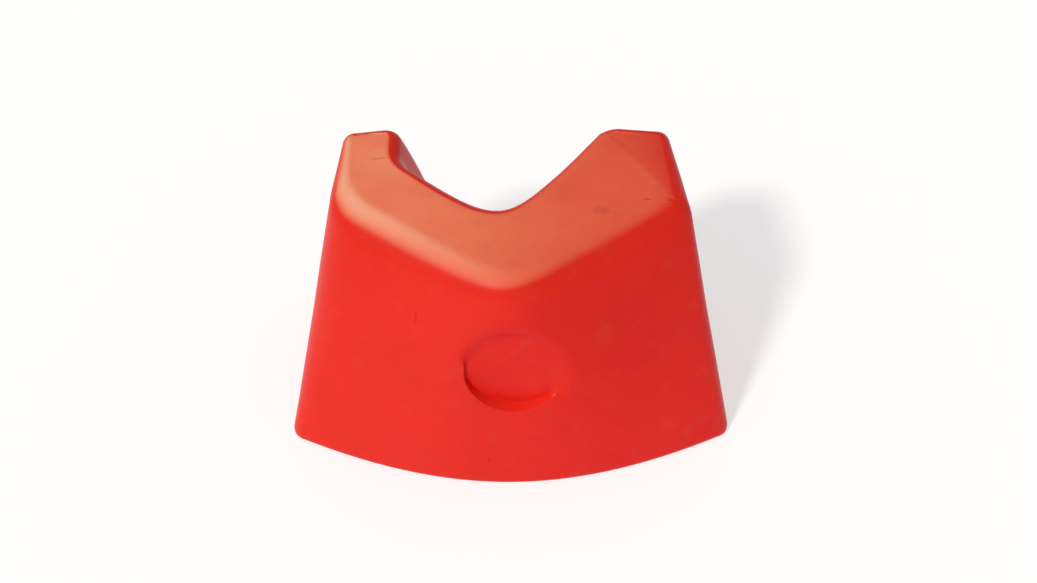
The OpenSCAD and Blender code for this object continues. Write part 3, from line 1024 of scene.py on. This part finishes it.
def bar_on_head(head_high):
    """The grip bar: a block pinched at its waist, with rounded ends and top."""
    deselect_all()
    sunk = 0.001
    bpy.ops.mesh.primitive_cube_add(size=1, location=(0, 0, head_high + (BAR_H - sunk) / 2))
    bar = bpy.context.object
    bar.scale = (BAR_LEN, BAR_W, BAR_H + sunk)
    bpy.ops.object.transform_apply(location=True, rotation=True, scale=True)
    bpy.ops.object.mode_set(mode="EDIT")
    bpy.ops.mesh.select_all(action="SELECT")
    bpy.ops.mesh.subdivide(number_cuts=3)
    mesh = bmesh.from_edit_mesh(bar.data)
    for vertex in mesh.verts:
        middle = 1 - min(abs(vertex.co.x) / (BAR_LEN / 2), 1) ** 2
        vertex.co.y *= 1 - 0.28 * middle
    bmesh.update_edit_mesh(bar.data)
    half = Vector((BAR_LEN / 2, 0, 0))
    top = head_high + BAR_H

    def is_outer(edge):
        ends = [vertex.co for vertex in edge.verts]
        along_top = all(abs(p.z - top) < 1e-5 for p in ends) and len(edge.link_faces) == 2
        upright = all(abs(abs(p.x) - half.x) < 1e-5 for p in ends)
        return (along_top or upright) and edge.calc_face_angle(0) > math.radians(50)
    pick_edges(bar, is_outer)
    bpy.ops.mesh.bevel(offset=0.0022, segments=4, affect="EDGES")
    bpy.ops.object.mode_set(mode="OBJECT")
    return bar


plug = make_filler_plug()
finish_piece(plug, filler_place, nylon, "filler_screw", "filler_plug")


# ---------------------------------------------------------------- drain insert
# A brass ring with a pipe thread, held in the floor of the drain's pocket by its
# collar.
DRAIN_PITCH = 0.001814
DRAIN_THREAD_R = 0.0127
DRAIN_THREAD_DEPTH = 0.0010
DRAIN_INSERT_LEN = 0.016
DRAIN_INSERT_R = 0.0182
DRAIN_COLLAR_R = 0.0207


def turned_brass():
    """Turned brass: warm yellow, with fine turning marks and a brown tarnish."""
    material, shader, add = new_material("insert_brass")
    place = add("ShaderNodeTexCoord").outputs["Object"]
    tarnish = add("ShaderNodeTexNoise", {"Vector": place, "Scale": 110, "Detail": 6})
    colour = mixed(add, ranged(add, tarnish.outputs["Fac"], 0.42, 0.72),
                   (0.62, 0.42, 0.16, 1), (0.27, 0.17, 0.07, 1))
    link(material, colour, shader, "Base Color")
    link(material, ranged(add, tarnish.outputs["Fac"], 0.35, 0.7, 0.24, 0.5), shader, "Roughness")
    marks = add("ShaderNodeTexNoise", {"Vector": place, "Scale": 2200, "Detail": 1})
    bump = add("ShaderNodeBump", {"Height": marks.outputs["Fac"], "Strength": 0.1,
                                  "Distance": 0.0002})
    link(material, bump.outputs[0], shader, "Normal")
    shader.inputs["Metallic"].default_value = 1.0
    return material


drain_place = on_back(DRAIN_X, DRAIN_Z, DRAIN_PAD_H - POCKET_DEPTH)
ring = threaded_ring("drain_ring", DRAIN_INSERT_R, DRAIN_COLLAR_R, DRAIN_INSERT_LEN,
                     DRAIN_THREAD_R, DRAIN_THREAD_DEPTH, DRAIN_PITCH)
finish_piece(ring, drain_place, turned_brass(), "tank", "drain_insert")


# ---------------------------------------------------------------- drain O-ring
# A round-section rubber ring on the neck of the drain plug.
ORING_D = 0.003
ORING_NECK_GAP = 0.0005

oring = rubber_ring("drain_seal_ring", DRAIN_THREAD_R + ORING_NECK_GAP + ORING_D / 2,
                    ORING_D / 2 - SEAL_GAP, ORING_D / 2 - SEAL_GAP, ORING_D / 2, 1)
finish_piece(oring, drain_place, rubber, "drain_seal", "drain_oring", 50)


# ---------------------------------------------------------------- drain plug
# A black nylon plug with a pipe thread, a round flange over the O-ring and a
# hexagon for a spanner.
DRAIN_TURNS = 7
FLANGE_R = 0.0187
FLANGE_H = 0.005
HEXAGON_R = 0.0135
HEXAGON_H = 0.011


def make_drain_plug():
    flange_low = ORING_D
    flange_high = flange_low + FLANGE_H
    plug = chamfered(FLANGE_R, FLANGE_R, flange_low, flange_high, 0.0008)
    hexagon = tapered_disc(HEXAGON_R, HEXAGON_R, flange_high - 0.001, flange_high + HEXAGON_H, 6)
    cone_r = HEXAGON_R + HEXAGON_H
    rounding = tapered_disc(cone_r, HEXAGON_R - 0.0016, flange_high - 0.001,
                            flange_high + HEXAGON_H + 0.0001)
    combine(hexagon, rounding, "INTERSECT")
    dimple = tapered_disc(0.0050, 0.0075, flange_high + 0.004, flange_high + HEXAGON_H + 0.001, 48)
    combine(hexagon, dimple, "DIFFERENCE")
    combine(plug, hexagon, "UNION")
    thread_high = -0.0006
    neck = tapered_disc(DRAIN_THREAD_R - DRAIN_THREAD_DEPTH, DRAIN_THREAD_R - 0.0004,
                        thread_high - 0.001, flange_low + 0.001)
    combine(plug, neck, "UNION")
    rod = threaded_rod(DRAIN_THREAD_R, DRAIN_THREAD_DEPTH, DRAIN_PITCH,
                       -DRAIN_TURNS * DRAIN_PITCH, thread_high, 48)
    combine(plug, rod, "UNION")
    plug.name = "drain_screw_plug"
    return plug


plug = make_drain_plug()
finish_piece(plug, drain_place, nylon, "drain_screw", "drain_plug")


# ---------------------------------------------------------------- vent plug
# A push-in nylon plug that closes the hole through which the moulding breathed:
# a domed head outside, a stem through the wall and a barb behind it.
VENT_HEAD_R = 0.009
VENT_HEAD_H = 0.002
MOULD_GAP = 0.00005
BARB_H = 0.002


def make_vent_plug():
    """Turned from one profile, from the tip of the barb to the top of the dome."""
    stem_r = VENT_R - MOULD_GAP
    stem_low = -WALL - 0.002
    profile = [(0, stem_low - BARB_H), (VENT_R - 0.0015, stem_low - BARB_H), (stem_r, stem_low),
               (stem_r - 0.0006, stem_low + 0.0005), (stem_r - 0.0006, -0.001), (stem_r - 0.0002, 0),
               (VENT_HEAD_R - 0.0003, 0), (VENT_HEAD_R, 0.0003)]
    for k in range(1, 7):
        turn = math.pi / 2 * k / 6
        profile.append((VENT_HEAD_R * math.cos(turn) ** 0.7,
                        0.0003 + (VENT_HEAD_H - 0.0003) * math.sin(turn)))
    profile[-1] = (0, VENT_HEAD_H)
    deselect_all()
    bpy.ops.mesh.primitive_circle_add(vertices=len(profile), radius=1, fill_type="NOTHING")
    plug = bpy.context.object
    for vertex, (radius, height) in zip(plug.data.vertices, profile):
        vertex.co = (radius, 0, height)
    bpy.ops.object.mode_set(mode="EDIT")
    ends = {0, len(profile) - 1}
    pick_edges(plug, lambda edge: {vertex.index for vertex in edge.verts} == ends)
    bpy.ops.mesh.delete(type="EDGE")
    bpy.ops.mesh.select_all(action="SELECT")
    bpy.ops.mesh.spin(steps=48, angle=2 * math.pi, center=(0, 0, 0), axis=(0, 0, 1))
    bpy.ops.mesh.select_all(action="SELECT")
    bpy.ops.mesh.remove_doubles(threshold=1e-6)
    bpy.ops.mesh.normals_make_consistent(inside=False)
    bpy.ops.object.mode_set(mode="OBJECT")
    plug.name = "vent_push_plug"
    return plug


finish_piece(make_vent_plug(), on_back(VENT_X, VENT_Z), nylon, "tank", "vent_plug")


# ---------------------------------------------------------------- studio
# A pale floor, a broad sun-like key from the front left, high up, and an even
# white surround.
def pale_floor():
    deselect_all()
    bpy.ops.mesh.primitive_plane_add(size=30, location=(0, 0, 0))
    floor = bpy.context.object
    floor.name = "studio_floor"
    material, shader, add = new_material("studio_floor")
    shader.inputs["Base Color"].default_value = (0.50, 0.50, 0.50, 1)
    shader.inputs["Roughness"].default_value = 0.9
    shader.inputs["Emission Color"].default_value = (1, 1, 1, 1)
    shader.inputs["Emission Strength"].default_value = 0.56
    floor.data.materials.append(material)


def light_studio():
    key = bpy.data.lights.new("key", "SUN")
    key.energy = 2.05
    key.angle = math.radians(8)
    key.color = (1.0, 0.97, 0.93)
    key_object = bpy.data.objects.new("key", key)
    bpy.context.scene.collection.objects.link(key_object)
    key_object.rotation_euler = Vector((0.47, 0.50, -0.73)).to_track_quat("-Z", "Y").to_euler()
    world = bpy.data.worlds.new("surround")
    world.use_nodes = True
    surround = world.node_tree.nodes["Background"]
    surround.inputs["Color"].default_value = (1, 1, 1, 1)
    surround.inputs["Strength"].default_value = 0.40
    bpy.context.scene.world = world
    bpy.context.scene.view_settings.view_transform = "Standard"


pale_floor()
light_studio()
